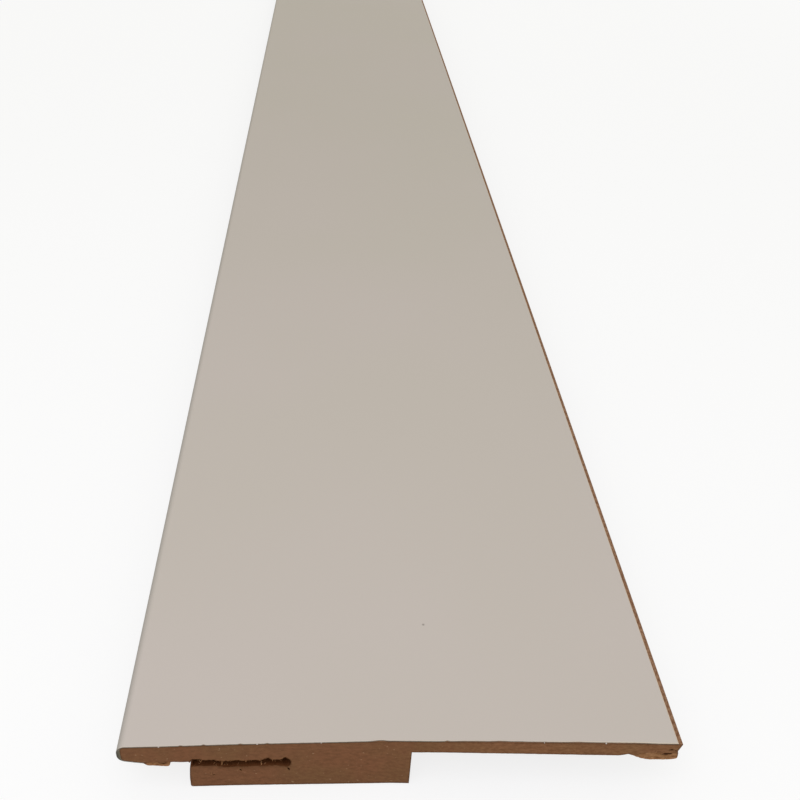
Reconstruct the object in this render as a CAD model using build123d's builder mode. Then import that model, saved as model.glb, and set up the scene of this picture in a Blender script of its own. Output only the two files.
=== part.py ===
# Skirting board: one length of T-section MDF moulding with a white foil wrapped over its face.
# It lies face up on its back pad. Length runs along Y, width along X, thickness along Z.
# The rounded top edge is at -X, the sawn floor edge at +X, the end with the two saw passes at -Y.
import os
from math import radians, tan

from build123d import *

# Stock size
board_length = 2400.0
board_width = 150.0
board_thickness = 18.0

# Section, from the rounded edge across to the sawn edge
lip_width = 18.5
lip_thickness = 7.0
pad_width = 59.0
pad_wall_lean = 0.6
pad_corner_radius = 1.5
apron_thickness = 5.0

# Rounded top edge: its tip is thinner than the lip, with a bevel behind it
tip_height = 5.6
bevel_width = 6.7
tip_face_radius = 3.0
tip_back_radius = 1.6

# Foil over the face, thicker round the tip of the top edge and down to the end of the bevel
foil_thickness = 0.3
foil_tip_thickness = 1.0
core_face_radius = 1.6
core_back_radius = 1.2

# Sawn floor edge: a broken arris at the face, then an undercut toward the back
arris_width = 1.6
arris_drop = 0.75
edge_undercut = 1.6

# Clip groove in the pad, directly behind the lip, with a wider relief at its end
groove_height = 2.0
groove_depth = 27.0
groove_relief_diameter = 3.0

# Near end: a square saw pass over the lip and pad, and a skewed one over the apron
saw_skew = 2.2
saw_passes_meet = 5.0
saw_allowance = 8.0

# Layers torn down from the back at the near end: a flap at the sawn corner, a flake behind the lip
flap_width = 13.2
flap_drop = 1.8
flap_reach = 20.0
flake_drop = 1.5
flake_reach = 12.0
flake_to_pad = 4.4
torn_root = 0.4

# Edges and levels that follow from the sizes
left_edge = -board_width / 2
right_edge = board_width / 2
pad_left = left_edge + lip_width
pad_right = pad_left + pad_width
lip_back = board_thickness - lip_thickness
apron_back = board_thickness - apron_thickness
tip_back = board_thickness - tip_height
bevel_end = left_edge + bevel_width
bevel_slope = (tip_back - lip_back) / bevel_width
groove_floor = lip_back - groove_height
groove_end = pad_left + groove_depth
relief_line = groove_end - groove_relief_diameter / 2
corner_front = -board_length / 2
far_end = Plane.XZ.offset(-board_length / 2)
sawing_length = board_length + saw_allowance

# Outer line of the top edge, shared by the moulding and its foil
top_edge_points = ((left_edge, board_thickness), (left_edge, tip_back), (bevel_end, lip_back))
top_edge_radii = (tip_face_radius, tip_back_radius)

# Whole section of the moulding, foil and board together
with BuildSketch(far_end) as moulding_section:
    with BuildLine():
        FilletPolyline(
            (right_edge - arris_width, board_thickness),
            *top_edge_points,
            radius=top_edge_radii,
        )
        FilletPolyline(
            (bevel_end, lip_back),
            (relief_line, lip_back),
            (relief_line, groove_floor),
            (pad_left, groove_floor),
            (pad_left, 0),
            (pad_right - pad_wall_lean, 0),
            (pad_right, apron_back),
            (right_edge - edge_undercut, apron_back),
            (right_edge, board_thickness - arris_drop),
            (right_edge - arris_width, board_thickness),
            radius=(0, 0, 0, pad_corner_radius, 0, 0, 0, 0),
        )
    make_face()
    with Locations((relief_line, lip_back - groove_height / 2)):
        Circle(groove_relief_diameter / 2, mode=Mode.SUBTRACT)

# Band the foil takes up, drawn past the sawn edge so that the arris cuts it off
with BuildSketch(far_end) as foil_band:
    with BuildLine():
        FilletPolyline(
            (right_edge + arris_width, board_thickness),
            *top_edge_points,
            radius=top_edge_radii,
        )
        Line((bevel_end, lip_back), (bevel_end, lip_back + foil_thickness))
        FilletPolyline(
            (bevel_end, lip_back + foil_thickness),
            (left_edge + foil_tip_thickness, tip_back + foil_thickness - bevel_slope * foil_tip_thickness),
            (left_edge + foil_tip_thickness, board_thickness - foil_thickness),
            (right_edge + arris_width, board_thickness - foil_thickness),
            radius=(core_back_radius, core_face_radius),
        )
        Line(
            (right_edge + arris_width, board_thickness - foil_thickness),
            (right_edge + arris_width, board_thickness),
        )
    make_face()

# Waste in front of the two saw passes, in plan
meet_line = pad_right - saw_passes_meet
skew_slope = tan(radians(saw_skew))
square_pass = corner_front + (right_edge - meet_line) * skew_slope
with BuildSketch() as saw_waste:
    with BuildLine():
        Polyline(
            (left_edge - saw_allowance, square_pass),
            (meet_line, square_pass),
            (right_edge + saw_allowance, corner_front - saw_allowance * skew_slope),
            (right_edge + saw_allowance, corner_front - 2 * saw_allowance),
            (left_edge - saw_allowance, corner_front - 2 * saw_allowance),
            close=True,
        )
    make_face()


# A torn layer: a lens of fibres below a back face, deepest at the near end and running out behind it
def torn_layer(inner, outer, back_level, front, drop, reach):
    width = outer - inner
    lowest = back_level - drop
    with BuildPart() as layer:
        with BuildSketch(Plane.XZ.offset(-front - reach)):
            with BuildLine():
                lens = Spline(
                    (inner, back_level),
                    (inner + width / 3, lowest + drop / 5),
                    (outer - width / 5, lowest),
                    (outer, back_level - drop / 2),
                )
                Polyline(
                    lens @ 1,
                    (outer, back_level + torn_root),
                    (inner, back_level + torn_root),
                    lens @ 0,
                )
            make_face()
        extrude(amount=reach + saw_allowance)
        with BuildSketch(Plane.YZ.offset(inner)):
            with BuildLine():
                Polyline(
                    (front - saw_allowance, lowest - drop * saw_allowance / reach),
                    (front + reach, back_level),
                    (front + reach, lowest - 2 * drop),
                    (front - saw_allowance, lowest - 2 * drop),
                    close=True,
                )
            make_face()
        extrude(amount=width, mode=Mode.SUBTRACT)
    return layer.part


flap_outer = right_edge - arris_width / 2
flap_inner = flap_outer - flap_width
corner_flap = torn_layer(flap_inner, flap_outer, apron_back, corner_front, flap_drop, flap_reach)
flake_outer = pad_left - flake_to_pad
lip_flake = torn_layer(bevel_end, flake_outer, lip_back, square_pass, flake_drop, flake_reach)

with BuildPart() as mdf_board:
    extrude(moulding_section.sketch, amount=sawing_length)
    extrude(foil_band.sketch, amount=sawing_length, mode=Mode.SUBTRACT)
    add(corner_flap)
    add(lip_flake)
    extrude(saw_waste.sketch, amount=board_thickness, mode=Mode.SUBTRACT)
mdf_board.part.label = "mdf_board"

with BuildPart() as face_foil:
    extrude(foil_band.sketch, amount=sawing_length)
    extrude(moulding_section.sketch, amount=sawing_length, mode=Mode.INTERSECT)
    extrude(saw_waste.sketch, amount=board_thickness, mode=Mode.SUBTRACT)
face_foil.part.label = "face_foil"

os.makedirs("parts", exist_ok=True)
export_step(mdf_board.part, "parts/mdf_board.step")
export_step(face_foil.part, "parts/face_foil.step")
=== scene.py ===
# Looks of the white-faced MDF skirting board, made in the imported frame.
# Lengths are millimetres in the frame's axes until a mesh, lamp or camera is written in metres.
import math
import random

import bmesh
import bpy
from mathutils import Matrix, Vector, geometry, noise


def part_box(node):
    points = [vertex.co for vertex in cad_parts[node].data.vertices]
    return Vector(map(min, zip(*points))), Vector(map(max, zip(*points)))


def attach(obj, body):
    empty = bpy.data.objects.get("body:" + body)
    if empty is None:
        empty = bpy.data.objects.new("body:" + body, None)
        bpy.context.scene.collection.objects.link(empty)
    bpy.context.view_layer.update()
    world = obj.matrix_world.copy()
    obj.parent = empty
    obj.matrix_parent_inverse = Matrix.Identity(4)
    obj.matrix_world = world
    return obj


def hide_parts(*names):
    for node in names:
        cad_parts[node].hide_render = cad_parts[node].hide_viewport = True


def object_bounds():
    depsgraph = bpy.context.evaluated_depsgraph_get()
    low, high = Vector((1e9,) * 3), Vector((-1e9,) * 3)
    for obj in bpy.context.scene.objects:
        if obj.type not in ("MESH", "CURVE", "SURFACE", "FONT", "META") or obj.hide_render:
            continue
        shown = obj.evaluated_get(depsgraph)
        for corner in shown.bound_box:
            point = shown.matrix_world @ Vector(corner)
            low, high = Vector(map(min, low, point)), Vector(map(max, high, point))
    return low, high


MM = 0.001

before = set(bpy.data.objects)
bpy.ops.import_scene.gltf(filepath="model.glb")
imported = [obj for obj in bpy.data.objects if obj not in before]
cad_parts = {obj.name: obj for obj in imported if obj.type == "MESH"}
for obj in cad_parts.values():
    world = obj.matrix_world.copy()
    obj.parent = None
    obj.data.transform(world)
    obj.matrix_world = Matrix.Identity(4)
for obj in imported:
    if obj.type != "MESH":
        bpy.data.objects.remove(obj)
cad_low, cad_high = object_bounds()
left_edge, corner_front, back_level = cad_low / MM
right_edge, far_end, face_level = cad_high / MM
board_length = far_end - corner_front

# Section: the solids' sizes, with the pad's walls, the nose and the raw edge read more closely from the photo
lip_width = 18.5
lip_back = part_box("face_foil")[0].z / MM
pad_width = 58.85
pad_wall_lean = 0.2
pad_corner_radius = 0.7
apron_back = face_level - 5.0
tip_back = face_level - 5.6
bevel_width = 6.7
tip_radii = (2.4, 2.6)
core_radii = (1.0, 1.4)
foil_thickness = 0.3
foil_tip_thickness = 1.0
raw_edge_width = 0.28
arris_width = 1.6
arris_drop = 0.75
edge_undercut = 1.6
groove_height = 2.0
groove_depth = 27.0
relief_radius = 1.5
saw_skew = math.tan(math.radians(2.2))

# Edges and levels that follow from them
pad_left = left_edge + lip_width
pad_right = pad_left + pad_width
bevel_end = left_edge + bevel_width
bevel_slope = (tip_back - lip_back) / bevel_width
core_left = left_edge + foil_tip_thickness
core_face = face_level - foil_thickness
core_back = tip_back + foil_thickness - bevel_slope * foil_tip_thickness
foil_right = right_edge - arris_width
core_right = foil_right + raw_edge_width
groove_floor = lip_back - groove_height
groove_middle = lip_back - groove_height / 2
groove_end = pad_left + groove_depth
relief_line = groove_end - relief_radius
saw_meet = pad_right - 5.0
square_pass = corner_front + (right_edge - saw_meet) * saw_skew

# Torn layers at the near end: where each starts and stops, its lowest drop and how far back it runs
flap_outer = right_edge - arris_width / 2
flap_inner = flap_outer - 13.2
flap_drop = 1.8
flap_reach = 20.0
flake_outer = pad_left - 4.4
flake_drop = 1.38
flake_reach = 12.0

# Other wear: how far each form is moved at the saw cut
lip_stands_out = 0.2
pad_twist = 0.65
pad_wall_bulge = 0.42
flap_push = 0.85
flap_notch_height = 0.36
flake_notch_height = 0.37
arris_lift = 0.4
arris_draw = 0.16
corner_waist = 0.2
relief_creep = 0.4

# How high above the apron's back the flap pulls, and how far behind the cut the groove's fraying fades
flap_root = 2.4
fray_reach = 4.0

# Depths behind the saw cut at which the board and the foil have a ring of points
torn_depths = (0, 0.12, 0.3, 0.6, 1, 1.5, 2.2, 3, 4, 5.5, 7.5, 10, 13, 17, 22, 32)
board_depths = (*torn_depths, 60, 140, 400, 1000, 1800)
foil_depths = (0, 0.1, 0.25, 0.6, 1.2, 2.5, 6, 20, 80, 300, 800, 1600)

# The photograph's camera: its turn in degrees, its place beside, before and above the cut, and its lens
camera_turn = (5.07, 34.11, 3.07)
camera_aside = -20.1
camera_before_cut = 160.2
camera_height = 235.8
focal_pixels = 967.3
photo_width_pixels = 800
sensor_width = 36.0

# Edges that bend by more than this many degrees stay crisp
crisp_angle = 32

luck = random.Random(41)


# Curves and outlines


def smooth(value, low, high):
    """0 below low, 1 above high, with an even slope between."""
    t = min(1.0, max(0.0, (value - low) / (high - low)))
    return t * t * (3 - 2 * t)


def hump(value, middle, half):
    """1 at the middle, falling away to nothing on both sides."""
    return math.exp(-(((value - middle) / half) ** 2))


def wander(size, *place):
    """A repeatable wavering number from -1 to 1 whose waves are about size long."""
    return noise.noise(Vector((*place, 0.5)[:3]) / size)


def saw_line(x, z=face_level):
    """Y of the sawn near end: square over lip and pad, skewed over the apron, with the blade's wander."""
    straight = square_pass if x < saw_meet else corner_front + (right_edge - x) * saw_skew
    over_lip = 1 - smooth(x, left_edge + 8, left_edge + 32)
    over_pad = smooth(x, pad_left - 4, pad_left) * (1 - smooth(x, pad_right, pad_right + 8))
    twist = (x - (pad_left + pad_right) / 2) / pad_width * (1 - z / face_level)
    return straight - lip_stands_out * over_lip - pad_twist * twist * over_pad


def behind_saw(x, z, depth):
    """Y of a ring at that depth behind the saw line; the last ring is the square far end."""
    start = saw_line(x, z)
    return start + (far_end - start) * depth / board_length


def rounded_path(corners, radii, counts, arc_count=8):
    """Points along straight runs, counts[i] on each, with the corners between them rounded."""
    places = [Vector(c) for c in corners]
    stops = []
    for before, corner, after, radius in zip(places, places[1:], places[2:], radii):
        into = (corner - before).normalized()
        out = (after - corner).normalized()
        turn = math.atan2(into.x * out.y - into.y * out.x, into.dot(out))
        start = corner - into * radius * math.tan(abs(turn) / 2)
        centre = start + Vector((-into.y, into.x)) * math.copysign(radius, turn)
        arm = start - centre
        arc = [centre + Matrix.Rotation(turn * k / arc_count, 2) @ arm for k in range(arc_count + 1)]
        stops.append(arc if radius else [corner])
    path = []
    here = places[0]
    for stop, count in zip([*stops, [places[-1]]], counts):
        path += [here.lerp(stop[0], k / count) for k in range(count)]
        path += stop[:-1]
        here = stop[-1]
    return [*path, here]


def even_counts(corners, steps):
    """How many points each straight run takes at its own step."""
    return [max(1, round(math.dist(a, b) / step)) for a, b, step in zip(corners, corners[1:], steps)]


def board_outline():
    """The MDF's section, from the arris down the sawn edge, along the back and over the top."""
    mouth = relief_line - math.sqrt(relief_radius**2 - (groove_height / 2) ** 2)
    start = (core_right, core_face)
    to_groove = [
        start,
        (right_edge, face_level - arris_drop),
        (right_edge - edge_undercut, apron_back),
        (flap_inner - 4, apron_back),
        (pad_right, apron_back),
        (pad_right - pad_wall_lean, back_level),
        (pad_left, back_level),
        (pad_left, groove_floor),
        (mouth, groove_floor),
    ]
    from_groove = [
        (mouth, lip_back),
        (pad_left, lip_back),
        (bevel_end, lip_back),
        (bevel_end, lip_back + foil_thickness),
        (core_left, core_back),
        (core_left, core_face),
        start,
    ]
    path = rounded_path(
        to_groove,
        (0, 0, 0, 0, 0, pad_corner_radius, 0),
        even_counts(to_groove, (0.3, 0.3, 0.3, 0.6, 0.5, 0.6, 0.4, 0.22)),
    )
    half_mouth = math.asin(groove_height / 2 / relief_radius)
    relief_count = 26
    for k in range(1, relief_count):
        angle = math.pi + half_mouth + 2 * (math.pi - half_mouth) * k / relief_count
        arm = Vector((math.cos(angle), math.sin(angle))) * relief_radius
        path.append(Vector((relief_line, groove_middle)) + arm)
    path += rounded_path(
        from_groove,
        (0, 0, 0, core_radii[1], core_radii[0]),
        even_counts(from_groove, (0.22, 0.3, 0.3, 0.3, 0.4, 0.5)),
    )
    return path[:-1]


# Damage at the near end


def near(depth, reach):
    """1 at the saw cut, fading to 0 at that reach behind it."""
    return max(0.0, 1 - depth / reach)


def in_groove(x, z):
    """Whether a point of the section is on the groove's walls or its relief."""
    in_length = pad_left - 0.05 <= x <= groove_end + 0.05
    return in_length and groove_floor - 0.55 <= z <= lip_back + 0.55


def frayed_groove(x, upper, depth):
    """How far up the groove's upper or lower wall is torn, most at its mouth and at the saw cut."""
    fray = 0.12 + 0.88 * math.exp(-depth / fray_reach)
    ripple = 0.55 * wander(2.3, x, 3.1, depth * 0.4) + 0.35 * wander(0.8, x, 8.7, depth * 0.6)
    inward = x - pad_left
    if not upper:
        worn = 0.45 * smooth(inward, 6, 10) - 0.1 * smooth(inward, 15, 18) + 0.25 * hump(inward, 24.2, 1.2)
        return fray * (0.3 * hump(inward, 3.4, 1.6) - worn + 0.6 * ripple)
    flare = 0.85 * smooth(inward, 0, 0.7) * (1 - smooth(inward, 3, 8))
    burst = 0.95 * hump(inward, 20.3, 1.0) + 0.55 * hump(inward, 25.2, 0.9)
    tufts = 0.9 * max(0.0, wander(0.8, x, 5.5, depth * 0.8) - 0.1)
    return fray * (flare + 0.15 * hump(inward, 9.5, 2) + burst + ripple - tufts)


def flake_hang(x):
    """How far the flake behind the lip hangs down at x."""
    start = smooth(x, bevel_end - 0.3, bevel_end + 1.1)
    stop = 1 - smooth(x, flake_outer - 0.9, flake_outer - 0.35)
    slope = 0.6 + 0.4 * (x - bevel_end) / (flake_outer - bevel_end)
    return flake_drop * start * stop * slope


def flap_hang(x):
    """How far the flap at the sawn corner hangs down at x."""
    across = (x - flap_inner) / (flap_outer - flap_inner)
    return flap_drop * smooth(across, -0.04, 0.42) * (1 - 0.45 * smooth(across, 0.82, 1.0))


def flake_notch(x):
    """How far the lip's back is broken up between the flake and the pad."""
    start = smooth(x, flake_outer - 1.0, flake_outer - 0.5)
    return flake_notch_height * start * (1 - smooth(x, flake_outer, flake_outer + 3.2))


def flap_notch(x):
    """How far the back is broken up into the apron where the flap starts."""
    return flap_notch_height * hump(x, flap_inner - 0.1, 1.3)


def apron_sag(x):
    """How far the apron's back rises by the pad and droops toward the flap."""
    slope = 0.25 - 0.5 * min(1.0, max(0.0, (x - pad_right - 4) / 51))
    return slope * (1 - smooth(x, flap_inner - 3.2, flap_inner - 0.4))


def damaged(x, z, depth):
    """The section's point as it is at that depth, with how torn it is and how much saw burn and painted shade
    it takes.
    """
    if in_groove(x, z):
        lifted = z + frayed_groove(x, z > groove_middle, depth)
        x -= relief_creep * smooth(x, groove_end - 2, groove_end) * math.exp(-depth / fray_reach)
        # The groove's walls are painted dark: partly saw burn, partly painted shade of the narrow groove.
        return x, lifted, 0.6 * math.exp(-depth / 3.0), 1.0
    torn = 0.0
    if x > flap_inner and z <= apron_back + flap_root:
        pulled = near(depth, flap_reach) * (1 - smooth(z, apron_back, apron_back + flap_root))
        torn = pulled * smooth(x, flap_inner, flap_inner + 1.5)
        z -= pulled * (flap_hang(x) - flap_notch(x) + 0.14 * wander(0.9, x, depth * 0.35, 2.0))
        x += pulled * flap_push * smooth(x, flap_outer - 2.2, flap_outer - 1.0)
    elif x > pad_right - 0.01 and z < apron_back + 0.1:
        z += apron_sag(x) * near(depth, 40) + flap_notch(x) * near(depth, flap_reach)
        z += 0.05 * wander(1.2, x, depth * 0.3) * near(depth, 8)
    elif x < pad_left + 0.8 and z < groove_floor:
        x -= pad_wall_bulge * near(depth, 25) * (1 - smooth(z, 3, 11))
    elif x > core_right and z > apron_back + flap_root:
        outward = near(depth, 6) * (x - core_right) / (right_edge - core_right)
        x -= arris_draw * outward
        z += arris_lift * outward
    elif bevel_end < x < pad_left and abs(z - lip_back) < 0.01:
        hang = flake_hang(x) * near(depth, flake_reach)
        torn = min(1.0, hang)
        z += flake_notch(x) * near(depth, flake_reach)
        z -= hang * (1 + 0.14 * wander(0.8, x, depth * 0.35, 6.0))
    if x > core_right:
        x -= corner_waist * hump(z, apron_back + 1.9, 0.6) * near(depth, 5)
    return x, z, torn, 0.0


# Where the foil has broken back from the cut: middle, half width and depth
foil_nicks = (
    (-58.3, 0.45, 0.16),
    (-52.4, 0.4, 0.2),
    (-42.9, 0.5, 0.16),
    (-35.9, 0.4, 0.18),
    (saw_meet - 3.5, 1.8, 0.27),
    (11.5, 0.5, 0.2),
    (26.0, 2.2, 0.14),
    (30.9, 1.3, 0.06),
    (46.5, 2.3, 0.1),
)


def chipped_face(x):
    """How far the foil has broken back from the saw line at x."""
    back = 0.03 * (1 + wander(0.8, x, 0.3))
    back += 0.19 * smooth(x, 8, 18) * (1 - smooth(x, 62, 69))
    return back + sum(depth * hump(x, middle, half) for middle, half, depth in foil_nicks)


# Meshes


def as_object(name, points, faces, marks=None):
    """A mesh piece in metres; marks are named numbers kept on its points or faces."""
    mesh = bpy.data.meshes.new(name)
    mesh.from_pydata([Vector(p) * MM for p in points], [], faces)
    build = bmesh.new()
    build.from_mesh(mesh)
    bmesh.ops.recalc_face_normals(build, faces=build.faces)
    build.to_mesh(mesh)
    build.free()
    for mark, (domain, values) in (marks or {}).items():
        mesh.attributes.new(mark, "FLOAT", domain).data.foreach_set("value", values)
    mesh.polygons.foreach_set("use_smooth", [True] * len(mesh.polygons))
    mesh.set_sharp_from_angle(angle=math.radians(crisp_angle))
    piece = bpy.data.objects.new(name, mesh)
    bpy.context.scene.collection.objects.link(piece)
    return piece


def filling(outline, spacing):
    """Scattered points inside an outline, row by row, clear of its edge."""
    count = len(outline)
    low = min(p[1] for p in outline)
    high = max(p[1] for p in outline)
    points = []
    for row in range(1, int((high - low) / spacing)):
        z = low + row * spacing
        crossings = sorted(
            a[0] + (b[0] - a[0]) * (z - a[1]) / (b[1] - a[1])
            for a, b in ((outline[i], outline[(i + 1) % count]) for i in range(count))
            if (a[1] > z) != (b[1] > z)
        )
        for enter, leave in zip(crossings[::2], crossings[1::2]):
            steps = int((leave - enter) / spacing)
            for k in range(1, steps):
                shift = Vector((luck.uniform(-0.25, 0.25), luck.uniform(-0.25, 0.25))) * spacing
                points.append(Vector((enter + (leave - enter) * k / steps, z)) + shift)
    return points


def holds(loop, x, z):
    """Whether the point lies inside the loop."""
    inside = False
    for a, b in zip(loop, [*loop[1:], loop[0]]):
        if (a[1] > z) != (b[1] > z) and x < a[0] + (b[0] - a[0]) * (z - a[1]) / (b[1] - a[1]):
            inside = not inside
    return inside


def crack_loop(start, end, opening):
    """A thin lens-shaped slit between two points of the end face."""
    count = 14
    along = Vector(end) - Vector(start)
    across = Vector((-along.y, along.x)).normalized()
    upper = []
    lower = []
    for k in range(count + 1):
        t = k / count
        middle = Vector(start) + along * t + across * 0.12 * wander(0.8, *start, t * along.length)
        half = opening / 2 * math.sin(math.pi * t) ** 0.6 * (1 + 0.5 * wander(0.5, *end, t * along.length))
        upper.append(middle + across * half)
        lower.append(middle - across * half)
    return upper + lower[-2:0:-1]


class Shell:
    """Points, faces and marks of the board while it is put together."""

    def __init__(self):
        self.points = []
        self.faces = []
        self.marks = {"sawn": [], "torn": [], "burn_and_shade": [], "rim": []}

    def add(self, point, sawn=0.0, torn=0.0, burn_and_shade=0.0, rim=0.0):
        self.points.append(point)
        for mark, value in zip(self.marks, (sawn, torn, burn_and_shade, rim)):
            self.marks[mark].append(value)
        return len(self.points) - 1

    def flat(self, loop):
        """The loop's points as seen from the end."""
        return [Vector((self.points[i][0], self.points[i][2])) for i in loop]

    def band(self, first, second):
        """Quads between two closed rings of the same count."""
        count = len(first)
        for i in range(count):
            j = (i + 1) % count
            self.faces.append((first[i], first[j], second[j], second[i]))

    def cap(self, ring, holes, inner):
        """Triangles over a ring, around the holes and through the inner points."""
        known = [*ring, *[i for hole in holes for i in hole], *inner]
        edges = []
        start = 0
        for loop in (ring, *holes):
            count = len(loop)
            edges += [(start + k, start + (k + 1) % count) for k in range(count)]
            start += count
        made, _, triangles, origins, _, _ = geometry.delaunay_2d_cdt(self.flat(known), edges, [], 1, 1e-5)
        slits = [self.flat(hole) for hole in holes]
        for triangle in triangles:
            middle = sum((made[k] for k in triangle), Vector((0, 0))) / 3
            if not any(holds(slit, *middle) for slit in slits):
                self.faces.append([known[origins[k][0]] for k in triangle])


def end_relief(x, z, torn):
    """How far the sawn end stands back at a point: saw sweeps, pulled fibres and torn layers."""
    sweep = math.hypot(x + 30, z + 95)
    saw = 0.02 * math.sin(sweep / 1.5 * 2 * math.pi + 2 * wander(9, x, z))
    fibre = 0.05 * wander(0.9, x * 0.5, z * 1.6, 4.0)
    pit = 0.35 * max(0.0, wander(1.3, x * 0.6, z * 1.5, 12.0) - 0.45)
    ragged = torn * (0.28 + 0.4 * wander(1.0, x * 0.5, z * 1.8, 21.0))
    return max(0.0, 0.07 + saw + fibre + pit + ragged)


def end_wear(x, z):
    """How torn the sawn end is at a point."""
    flap = smooth(x, flap_inner, flap_inner + 4) * (1 - smooth(z, apron_back + 0.2, apron_back + 1.3))
    flake = smooth(x, bevel_end, bevel_end + 1) * (1 - smooth(x, flake_outer, flake_outer + 0.8))
    flake *= 1 - smooth(z, lip_back - 0.2, lip_back + 0.5)
    return max(flap, flake, 0.3 * smooth(x, saw_meet, saw_meet + 30))


def shade_below_groove(x, z):
    """How much painted shade the sawn end takes below the groove, fading away from the groove's lower wall.
    """
    along = x - pad_left
    below = groove_floor + frayed_groove(x, False, 0) - z
    if along < 0 or along > groove_depth + 0.5 or below < -0.5:
        return 0.0
    patchy = 0.8 + 0.3 * wander(4.0, x, 9.0)
    inner_end = 1 - smooth(along, groove_depth - 1.5, groove_depth + 0.5)
    return patchy * inner_end * math.exp(-max(0.0, below) / 0.8)


def low_edge(x, z):
    """How close a point of the sawn end is to the bottom edge below it, 1 right at the edge; it sets the
    painted shade along that edge.
    """
    if pad_left < x < pad_right:
        return 1 - smooth(z, back_level + 0.1, back_level + 0.8)
    back = apron_back + apron_sag(x) if x > pad_right else lip_back
    return 1 - smooth(z, back + 0.1, back + 0.6)


# Cracks and pits in the near end: start, end, opening and depth
cracks = (
    ((flap_outer - 4.3, apron_back + 0.45), (flap_outer - 1.5, apron_back + 0.6), 0.8, 6.0),
    ((flap_outer - 2.7, apron_back + 2.2), (flap_outer - 1.1, apron_back + 2.3), 0.45, 4.0),
    ((flap_outer - 1.0, apron_back + 2.08), (flap_outer - 0.5, apron_back + 1.7), 0.3, 2.5),
    ((flake_outer - 3.6, lip_back - 0.05), (flake_outer - 1.5, lip_back - 0.3), 0.45, 1.2),
    ((groove_end - 1.3, groove_floor - 1.55), (groove_end - 0.8, groove_floor - 2.8), 0.5, 1.2),
    ((pad_left + 13.0, groove_floor - 1.8), (pad_left + 13.4, groove_floor - 2.7), 0.45, 0.6),
    ((pad_left + 5.6, groove_floor - 4.1), (pad_left + 6.4, groove_floor - 4.3), 0.35, 0.3),
)


def board():
    """The MDF moulding: its long faces ring by ring, a frayed near end and a plain far end."""
    shell = Shell()
    outline = board_outline()
    rings = []
    for depth in (*board_depths, board_length):
        ring = []
        at_saw = float(depth == 0)
        for x, z in outline:
            x, z, torn, burn_and_shade = damaged(x, z, depth)
            nick = 0.08 * abs(wander(0.6, x, z)) * at_saw
            place = (x, behind_saw(x, z, depth) + nick, z)
            # The outline ring at the saw takes the rim mark: a darker line round the sawn end, partly the
            # MDF's denser skin, partly painted edge shade.
            ring.append(shell.add(place, at_saw, torn, burn_and_shade, at_saw * (1 - torn)))
        rings.append(ring)
    for first, second in zip(rings, rings[1:]):
        shell.band(first, second)

    slits = []
    for start, end, opening, depth in cracks:
        loop = crack_loop(start, end, opening)
        middle = Vector(start).lerp(Vector(end), 0.5)
        narrow = [p.lerp(middle, 0.25) for p in loop]
        # Painted shade: crack walls are painted darker from the rim down to the bottom of each slit.
        rim = [shell.add((p.x, saw_line(*p) + 0.1, p.y), 1.0, 0.6, 0.4) for p in loop]
        throat = [shell.add((p.x, saw_line(*p) + 0.25, p.y), 1.0, 0.0, 0.95) for p in loop]
        bottom = [shell.add((p.x, saw_line(*p) + depth, p.y), 1.0, 0.0, 1.0) for p in narrow]
        shell.band(rim, throat)
        shell.band(throat, bottom)
        shell.faces.append(tuple(bottom))
        slits.append(rim)

    near_inner = []
    slit_loops = [shell.flat(slit) for slit in slits]
    for x, z in filling(shell.flat(rings[0]), 0.42):
        if not any(holds(loop, x, z) for loop in slit_loops):
            torn = end_wear(x, z)
            place = (x, saw_line(x, z) + end_relief(x, z, torn), z)
            # Inner points near the bottom edge take part of the rim mark as painted shade.
            near_inner.append(shell.add(place, 1.0, torn, shade_below_groove(x, z), 0.7 * low_edge(x, z) * (1 - torn)))
    shell.cap(rings[0], slits, near_inner)

    far_inner = []
    for x, z in filling(shell.flat(rings[-1]), 1.2):
        far_inner.append(shell.add((x, far_end - 0.6 * end_relief(x, z, 0.0), z), 1.0))
    shell.cap(rings[-1], [], far_inner)
    marks = {mark: ("POINT", values) for mark, values in shell.marks.items()}
    return as_object("board", shell.points, shell.faces, marks)


def foil():
    """The white foil: a skin over the face, round the top edge and along the bevel, chipped at the cut."""
    counts = (480, 3, 22)
    nose_count = 14
    outer_corners = [
        (foil_right, face_level),
        (left_edge, face_level),
        (left_edge, tip_back),
        (bevel_end, lip_back),
    ]
    inner_corners = [
        (core_right, core_face),
        (core_left, core_face),
        (core_left, core_back),
        (bevel_end, lip_back + foil_thickness),
    ]
    outside = rounded_path(outer_corners, tip_radii, counts, nose_count)
    inside = rounded_path(inner_corners, core_radii, counts, nose_count)
    section = [*outside, *reversed(inside)]
    count = len(section)
    points = []
    faces = []
    skin = []
    sawn = []
    bare = []
    rings = []
    for depth in (*foil_depths, board_length):
        rings.append(range(len(points), len(points) + count))
        skin += [1.0] * len(outside) + [0.0] * len(inside)
        for x, z in section:
            points.append((x, behind_saw(x, z, depth) + chipped_face(x) * near(depth, 5), z))
    for depth, first, second in zip(foil_depths, rings, rings[1:]):
        for i in range(count):
            j = (i + 1) % count
            faces.append((first[i], first[j], second[j], second[i]))
            sawn.append(0.0)
            raw_edge = i in (count - 1, len(outside) - 1)
            rubbed = 0.35 + 0.65 * smooth(section[i].x, 25, 60)
            bare.append(1.0 if raw_edge else rubbed * max(0.0, 0.8 - 4 * depth))
    for ring in (rings[0], rings[-1]):
        for i in range(len(outside) - 1):
            faces.append((ring[i], ring[i + 1], ring[count - 2 - i], ring[count - 1 - i]))
            # Painted light: the sawn end is kept paler at the top of the nose, where light falls from above;
            # the bevel is kept paler too.
            on_bevel = outside[i].y < tip_back + 0.3
            upper_nose = smooth(outside[i].y, face_level - 2.6, face_level - 1.2)
            sawn.append(0.6 if on_bevel else 0.92 - 0.22 * upper_nose)
            bare.append(0.0)
    marks = {"skin": ("POINT", skin), "sawn": ("FACE", sawn), "bare": ("FACE", bare)}
    return as_object("foil", points, faces, marks)


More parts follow.
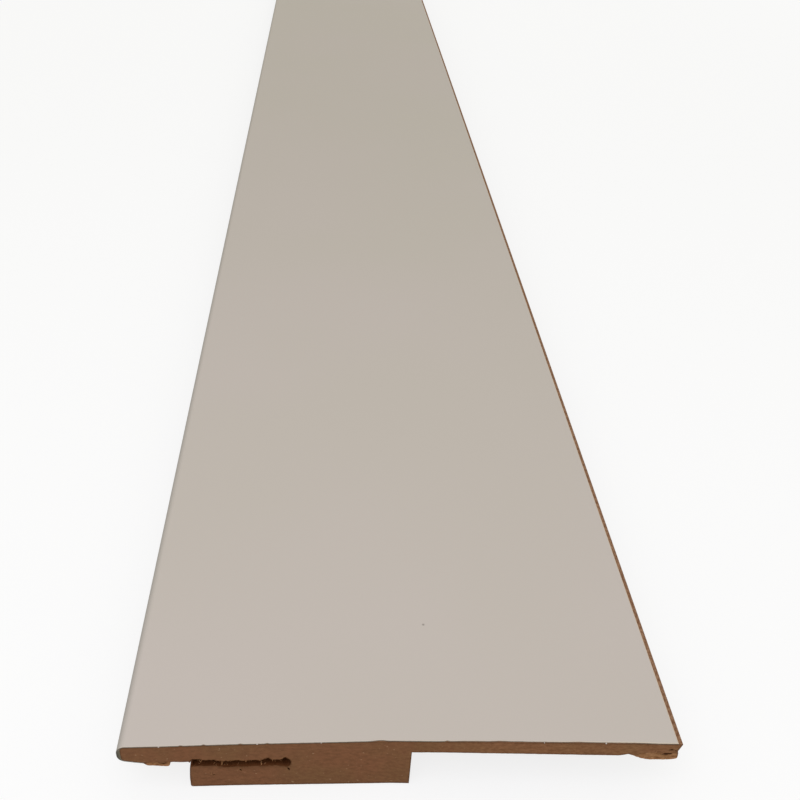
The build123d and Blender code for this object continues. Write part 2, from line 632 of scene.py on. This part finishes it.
def foil_chips():
    """Chips of foil bent forward and down over the cut, still hanging from the face."""
    points = []
    faces = []
    bends = 4
    thick = 0.07
    for x, width in ((-63.9, 0.5), (-38.5, 0.4), (-21.8, 0.35), (37.4, 0.25), (54.0, 0.4)):
        rings = []
        for k in range(bends + 1):
            t = k / bends
            angle = math.radians(15 + 60 * t)
            y = saw_line(x) + 0.22 - 0.3 * math.sin(angle)
            z = face_level - thick - 0.02 - 0.3 * (1 - math.cos(angle))
            half = width / 2 * (1 - 0.75 * t * t) * (1 + 0.4 * wander(0.4, x, t))
            ring = []
            for side, lift in ((-1, 0), (1, 0), (1, thick), (-1, thick)):
                ring.append(len(points))
                points.append((x + side * half, y - lift * math.sin(angle), z + lift * math.cos(angle)))
            rings.append(ring)
        for first, second in zip(rings, rings[1:]):
            for s in range(4):
                j = (s + 1) % 4
                faces.append((first[s], first[j], second[j], second[s]))
        faces.append(tuple(rings[0]))
        faces.append(tuple(rings[-1]))
    return as_object("foil_chips", points, faces)


def strand(points, faces, root, tip, radius, bow):
    """A bent fibre that tapers from its root to its tip."""
    sides = 5
    joints = 4
    root = Vector(root)
    along = Vector(tip) - root
    aside = along.orthogonal().normalized()
    beside = along.cross(aside).normalized()
    rings = []
    for k in range(joints + 1):
        t = k / joints
        centre = root + along * t + aside * bow * math.sin(math.pi * t)
        thick = radius * (1 - 0.75 * t)
        ring = []
        for s in range(sides):
            angle = 2 * math.pi * s / sides
            ring.append(len(points))
            points.append(centre + (aside * math.cos(angle) + beside * math.sin(angle)) * thick)
        rings.append(ring)
    for first, second in zip(rings, rings[1:]):
        for s in range(sides):
            j = (s + 1) % sides
            faces.append((first[s], first[j], second[j], second[s]))
    faces.append(tuple(rings[0]))
    faces.append(tuple(rings[-1]))


def groove_fibres(points, faces):
    """Fibres left across the groove's opening, a dark burr at its mouth and stubble on its walls."""
    for x, bottom, top in ((-53.6, 0.5, 1.0), (-48.2, 0.1, 1.0), (-41.7, 0.6, 1.0), (-37.6, 0.0, 0.5)):
        low = groove_floor + frayed_groove(x, False, 0.5) - 0.1
        high = lip_back + frayed_groove(x, True, 0.5) + 0.1
        for k in range(3):
            step = luck.uniform(-0.2, 0.2)
            depth = 0.35 + 0.2 * k
            root = (x + step, square_pass + depth, low + (high - low) * bottom)
            tip = (x + step * 2, square_pass + depth, low + (high - low) * top)
            strand(points, faces, root, tip, luck.uniform(0.1, 0.15), luck.uniform(-0.15, 0.15))
    arch = lip_back + 0.35
    arch_start = (-36.9, square_pass + 0.4, arch - 0.2)
    arch_end = (-35.2, square_pass + 0.4, arch)
    strand(points, faces, arch_start, arch_end, radius=0.1, bow=0.25)
    burr_count = 14
    for k in range(burr_count):
        depth = 0.15 + 0.15 * k
        x = pad_left + 0.4 + luck.uniform(-0.1, 0.2)
        low = groove_floor - 0.2
        high = lip_back + 0.75 * math.exp(-depth / 4) + 0.1
        root = (x, square_pass + depth, high if k % 2 else low)
        tip = (x + luck.uniform(-0.05, 0.2), square_pass + depth, low if k % 2 else high)
        strand(points, faces, root, tip, luck.uniform(0.14, 0.24), luck.uniform(-0.15, 0.15))
    stubble_count = 90
    for _ in range(stubble_count):
        x = luck.uniform(pad_left + 0.5, groove_end - 1)
        depth = luck.uniform(0.1, 2.5)
        upper = luck.random() < 0.6
        edge = (lip_back if upper else groove_floor) + frayed_groove(x, upper, depth)
        reach = luck.uniform(0.25, 0.7) * (-1 if upper else 0.7)
        root = (x, square_pass + depth, edge - 0.15 * reach)
        tip = (x + luck.uniform(-0.5, 0.5), square_pass + depth + luck.uniform(-0.3, 0.5), edge + reach)
        strand(points, faces, root, tip, luck.uniform(0.04, 0.1), luck.uniform(-0.15, 0.15))


def torn_fibres(points, faces, start, stop, level, reach, count):
    """Fibres standing off the underside of a torn layer."""
    for _ in range(count):
        x = luck.uniform(start, stop)
        depth = luck.uniform(0.1, reach / 2)
        low = damaged(x, level, depth)[1]
        y = behind_saw(x, low, depth)
        tip = (x + luck.uniform(-0.6, 0.5), y + luck.uniform(0, 1.5), low - luck.uniform(0.05, 0.35))
        strand(points, faces, (x, y, low + 0.12), tip, luck.uniform(0.03, 0.08), luck.uniform(-0.2, 0.2))


def stuck_fibres(points, faces):
    """Single pale fibres that lie on the sawn end."""
    for root, tip, radius in (((-51.2, 5.1), (-51.1, 6.3), 0.13), ((68.0, 14.3), (68.4, 14.5), 0.15)):
        ends = [(x, saw_line(x, z), z) for x, z in (root, tip)]
        strand(points, faces, *ends, radius, bow=0.05)


def loose_fibres():
    """All the fibres left standing at the near end."""
    points = []
    faces = []
    groove_fibres(points, faces)
    stuck_fibres(points, faces)
    torn_fibres(points, faces, flap_inner + 1, flap_outer - 0.4, apron_back, flap_reach, count=60)
    torn_fibres(points, faces, bevel_end + 1, flake_outer - 1, lip_back, flake_reach, count=40)
    burr_start, burr_end, burr_top = pad_left - 0.2, pad_left + 1.1, lip_back + 0.9
    burr = [float(burr_start < p[0] < burr_end and p[2] < burr_top) for p in points]
    pale = [1 - burn_and_shade for burn_and_shade in burr]
    return as_object("loose_fibres", points, faces, {"burn_and_shade": ("POINT", burr), "torn": ("POINT", pale)})


# Finishes


def paint(red, green, blue):
    """A colour as an eye reads it, 0 to 255, as the linear colour a shader takes."""
    shares = [c / 255 for c in (red, green, blue)]
    linear = [c / 12.92 if c <= 0.04045 else ((c + 0.055) / 1.055) ** 2.4 for c in shares]
    return (*linear, 1.0)


class Wire:
    """An output of a node. Arithmetic on wires adds Math nodes, and node() adds any other kind."""

    def __init__(self, tree, socket=None):
        self.tree = tree
        self.socket = socket

    def node(self, kind, settings=None, sockets=None, output=0):
        made = self.tree.nodes.new(kind)
        for name, value in (settings or {}).items():
            setattr(made, name, value)
        for key, value in (sockets or {}).items():
            if isinstance(value, Wire):
                self.tree.links.new(value.socket, made.inputs[key])
            else:
                made.inputs[key].default_value = value
        return Wire(self.tree, made.outputs[output])

    def math(self, operation, first, second):
        return self.node("ShaderNodeMath", {"operation": operation}, {0: first, 1: second})

    def __add__(self, other):
        return self.math("ADD", self, other)

    def __radd__(self, other):
        return self.math("ADD", other, self)

    def __sub__(self, other):
        return self.math("SUBTRACT", self, other)

    def __rsub__(self, other):
        return self.math("SUBTRACT", other, self)

    def __mul__(self, other):
        return self.math("MULTIPLY", self, other)

    def __rmul__(self, other):
        return self.math("MULTIPLY", other, self)

    def between(self, low, high):
        """0 at low and 1 at high, with an even slope."""
        ends = {"Value": self, "From Min": low, "From Max": high}
        return self.node("ShaderNodeMapRange", {"interpolation_type": "SMOOTHSTEP"}, ends)

    def mix(self, first, second):
        """A colour that goes from first to second as this wire goes from 0 to 1."""
        return self.node("ShaderNodeMix", {"data_type": "RGBA"}, {0: self, 6: first, 7: second}, 2)

    def stretched(self, *factors):
        """A place multiplied axis by axis."""
        return self.node("ShaderNodeVectorMath", {"operation": "MULTIPLY"}, {0: self, 1: factors})

    def distance(self, point):
        """How far this place is from a point."""
        return self.node("ShaderNodeVectorMath", {"operation": "DISTANCE"}, {0: self, 1: point}, "Value")

    def grain(self, scale, detail=4.0, roughness=0.55):
        """Even noise at this place, around 0.5."""
        sockets = {"Vector": self, "Scale": scale, "Detail": detail, "Roughness": roughness}
        return self.node("ShaderNodeTexNoise", None, sockets)

    def bump(self, strength, distance):
        """A normal bent by this wire as a height."""
        sockets = {"Strength": strength, "Distance": distance, "Height": self}
        return self.node("ShaderNodeBump", None, sockets)

    def feed(self, shader, socket):
        self.tree.links.new(self.socket, shader.inputs[socket])


def new_finish(name):
    """A material, its shader node and a wire to start its nodes from."""
    material = bpy.data.materials.new(name)
    material.use_nodes = True
    return material, material.node_tree.nodes["Principled BSDF"], Wire(material.node_tree)


def marks_of(start, *names):
    """Wires of the numbers kept on a mesh's points or faces."""
    return [start.node("ShaderNodeAttribute", {"attribute_name": name}, output="Fac") for name in names]


def mdf_finish():
    """Raw MDF: flat-lying fibres, darker where sawn, with saw burn and painted shade in and below the groove
    and in the cracks, a darker line along the sawn end's edges that is partly denser skin and partly painted
    shade, paler where torn or planed.
    """
    material, shader, start = new_finish("raw_mdf")
    place = start.node("ShaderNodeTexCoord", output="Object")
    across = start.node("ShaderNodeSeparateXYZ", None, {"Vector": place}, "X")
    sawn, torn, burn_and_shade, rim = marks_of(start, "sawn", "torn", "burn_and_shade", "rim")
    lying = place.stretched(800, 800, 1200)
    fibres = lying.grain(1.0, 6.0, 0.6)
    clouds = place.grain(70.0, 2.0)
    colour = clouds.between(0.35, 0.65).mix(paint(139, 95, 67), paint(133, 97, 66))
    colour = fibres.between(0.2, 0.7).mix(paint(121, 83, 57), colour)
    pale = lying.grain(2.1, 2.0).between(0.66, 0.8)
    colour = (pale * 0.35).mix(colour, paint(180, 142, 107))
    fleck = lying.grain(1.1, 1.0).between(0.72, 0.79)
    colour = (fleck * 0.4).mix(colour, paint(198, 162, 128))
    dark = place.stretched(900, 900, 1500).grain(0.55, 3.0).between(0.66, 0.78)
    colour = (dark * 0.4).mix(colour, paint(88, 58, 39))
    knife_marks = place.stretched(12, 640, 12).grain(1.0, 1.0).between(0.3, 0.7)
    planed = fibres.between(0.25, 0.75).mix(paint(130, 92, 66), paint(158, 119, 89))
    planed = (knife_marks * 0.14).mix(planed, paint(102, 69, 48))
    colour = ((1 - sawn) * 0.6).mix(colour, planed)
    mottle = place.stretched(1500, 900, 1500).grain(1.0, 3.0).between(0.35, 0.65)
    floor_edge = across.between((right_edge - 2.4) * MM, (right_edge - 1.7) * MM)
    rough_edge = mottle.mix(paint(98, 66, 48), paint(164, 132, 106))
    colour = ((1 - sawn) * floor_edge * 0.55).mix(colour, rough_edge)
    rough_layer = fibres.between(0.3, 0.7).mix(paint(144, 100, 62), paint(180, 136, 97))
    colour = (torn * 0.75).mix(colour, rough_layer)
    # The rim mark darkens the sawn end's edges, most along the bottom: partly the MDF's denser skin, partly
    # painted shade.
    colour = (rim * 0.6).mix(colour, paint(70, 46, 30))
    # Dark brown in the groove, in the cracks and below the groove: partly saw burn, partly painted shade.
    burn_and_shade_colour = burn_and_shade.between(0.75, 1.0).mix(paint(80, 50, 23), paint(77, 37, 8))
    colour = (burn_and_shade * 0.9).mix(colour, burn_and_shade_colour)
    colour.feed(shader, "Base Color")
    (0.78 + 0.2 * fibres).feed(shader, "Roughness")
    shader.inputs["Specular IOR Level"].default_value = 0.1
    tooth = fibres + torn * 0.6 * fibres + (1 - sawn) * 0.3 * knife_marks
    tooth.bump(0.5, 0.12 * MM).feed(shader, "Normal")
    return material


def foil_finish():
    """White satin foil with a faint tooth, painted shade greying its rounded left edge, cream on its raw
    edges and dull olive where it is sawn, painted darker toward the outer side and paler at the top of the
    nose.
    """
    material, shader, start = new_finish("white_foil")
    place = start.node("ShaderNodeTexCoord", output="Object")
    skin, sawn, bare = marks_of(start, "skin", "sawn", "bare")
    clouds = place.grain(7.0, 2.0)
    tooth = place.grain(1500.0, 3.0)
    colour = clouds.between(0.3, 0.7).mix(paint(192, 184, 175), paint(194, 185, 178))
    colour = (tooth.between(0.6, 0.85) * 0.1).mix(colour, paint(208, 202, 194))
    speck_place = (8.3 * MM, (square_pass + 40.5) * MM, face_level * MM)
    speck = 1 - place.distance(speck_place).between(0.2 * MM, 0.55 * MM)
    colour = (speck * 0.6).mix(colour, paint(112, 104, 96))
    across = start.node("ShaderNodeSeparateXYZ", None, {"Vector": place}, "X")
    # Painted shade: the rounded left edge is painted greyer toward its outer side, where it turns away from
    # the light.
    painted_nose_shade = 1 - across.between(left_edge * MM, (left_edge + 2.4) * MM)
    colour = (painted_nose_shade * 0.7).mix(colour, paint(160, 156, 149))
    colour = bare.mix(colour, paint(226, 207, 184))
    # Sawn foil is dull olive, darkest toward its outer side: partly the cut edge's own colour, partly painted
    # shade.
    colour = sawn.mix(colour, skin.mix(paint(112, 105, 83), paint(54, 50, 40)))
    colour.feed(shader, "Base Color")
    (0.42 + 0.12 * clouds + 0.06 * tooth + 0.3 * sawn).feed(shader, "Roughness")
    shader.inputs["Specular IOR Level"].default_value = 0.4
    tooth.bump(0.12, 0.04 * MM).feed(shader, "Normal")
    return material


def floor_finish():
    """A floor that is seen white with a faint shadow, and throws back half of the light."""
    material, shader, start = new_finish("studio_floor")
    shader.inputs["Roughness"].default_value = 0.9
    shader.inputs["Specular IOR Level"].default_value = 0.0
    seen = start.node("ShaderNodeLightPath", output="Is Camera Ray")
    seen.mix((0.5, 0.5, 0.5, 1.0), (0.9, 0.9, 0.9, 1.0)).feed(shader, "Base Color")
    place = start.node("ShaderNodeTexCoord", output="Object").stretched(1.0, 0.35, 0.0)
    away = place.distance((0.0, 0.0, 0.0)).between(0.3, 1.2)
    glow = start.node("ShaderNodeEmission")
    shaded = Wire(material.node_tree, shader.outputs[0])
    mixed = start.node("ShaderNodeMixShader", None, {0: seen * (0.8 + 0.2 * away), 1: shaded, 2: glow})
    mixed.feed(material.node_tree.nodes["Material Output"], "Surface")
    return material


# Stage, light and camera


def studio_floor():
    """A wide floor just under the pad, kept out of the part."""
    half = 6.0
    level = back_level * MM - 0.3 * MM
    mesh = bpy.data.meshes.new("floor")
    corners = [(-half, -half, level), (half, -half, level), (half, half, level), (-half, half, level)]
    mesh.from_pydata(corners, [], [(0, 1, 2, 3)])
    floor = bpy.data.objects.new("floor", mesh)
    bpy.context.scene.collection.objects.link(floor)
    floor.data.materials.append(floor_finish())


def softbox(name, place, aim, size, power, colour):
    """A square lamp at a place, turned to its aim; metres and watts."""
    lamp = bpy.data.lights.new(name, "AREA")
    lamp.shape = "SQUARE"
    lamp.size = size
    lamp.energy = power
    lamp.color = colour
    holder = bpy.data.objects.new(name, lamp)
    holder.location = place
    holder.rotation_euler = (aim - place).to_track_quat("-Z", "Y").to_euler()
    bpy.context.scene.collection.objects.link(holder)


def studio_light():
    """A warm white room with a cool soft lamp close above the near end and another over the far half."""
    world = bpy.data.worlds.new("studio")
    bpy.context.scene.world = world
    world.use_nodes = True
    room = world.node_tree.nodes["Background"]
    seen = Wire(world.node_tree).node("ShaderNodeLightPath", output="Is Camera Ray")
    seen.mix((1.0, 0.99, 0.9, 1.0), (1.0, 1.0, 1.0, 1.0)).feed(room, "Color")
    (0.71 + 0.29 * seen).feed(room, "Strength")
    near_aim = Vector((0, corner_front * MM, 0))
    near_place = near_aim + Vector((-0.1, -0.2, 0.55))
    softbox("near_lamp", near_place, near_aim, size=0.5, power=1.42, colour=(0.83, 0.82, 1.0))
    far_aim = Vector((0, far_end * MM - 0.7, 0))
    far_place = far_aim + Vector((0.2, 0, 1.2))
    softbox("far_lamp", far_place, far_aim, size=1.0, power=2.2, colour=(0.95, 0.95, 1.0))


def photo_camera():
    """The photograph's view: just in front of the near end, looking down the board."""
    yaw, pitch, roll = (math.radians(angle) for angle in camera_turn)
    ahead = Vector((math.sin(yaw) * math.cos(pitch), math.cos(yaw) * math.cos(pitch), -math.sin(pitch)))
    level_right = Vector((math.cos(yaw), -math.sin(yaw), 0))
    level_up = level_right.cross(ahead)
    right = level_right * math.cos(roll) + level_up * math.sin(roll)
    up = level_up * math.cos(roll) - level_right * math.sin(roll)
    lens = bpy.data.cameras.new("photo_camera")
    lens.sensor_width = sensor_width
    lens.lens = sensor_width * focal_pixels / photo_width_pixels
    lens.clip_start = 0.01
    camera = bpy.data.objects.new("photo_camera", lens)
    turn = Matrix((right, up, -ahead)).transposed().to_4x4()
    place = Vector((camera_aside, square_pass - camera_before_cut, camera_height)) * MM
    camera.matrix_world = Matrix.Translation(place) @ turn
    bpy.context.scene.collection.objects.link(camera)
    bpy.context.scene.camera = camera


def dress(piece, finish, node):
    """Give a piece its finish and slot, fix it to the one body and let it stand for its solid."""
    piece.data.materials.append(finish)
    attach(piece, "root")
    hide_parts(node)


mdf = mdf_finish()
dress(board(), mdf, "mdf_board")
dress(loose_fibres(), mdf, "mdf_board")
white = foil_finish()
dress(foil(), white, "face_foil")
dress(foil_chips(), white, "face_foil")

studio_floor()
studio_light()
photo_camera()
bpy.context.scene.view_settings.view_transform = "Standard"
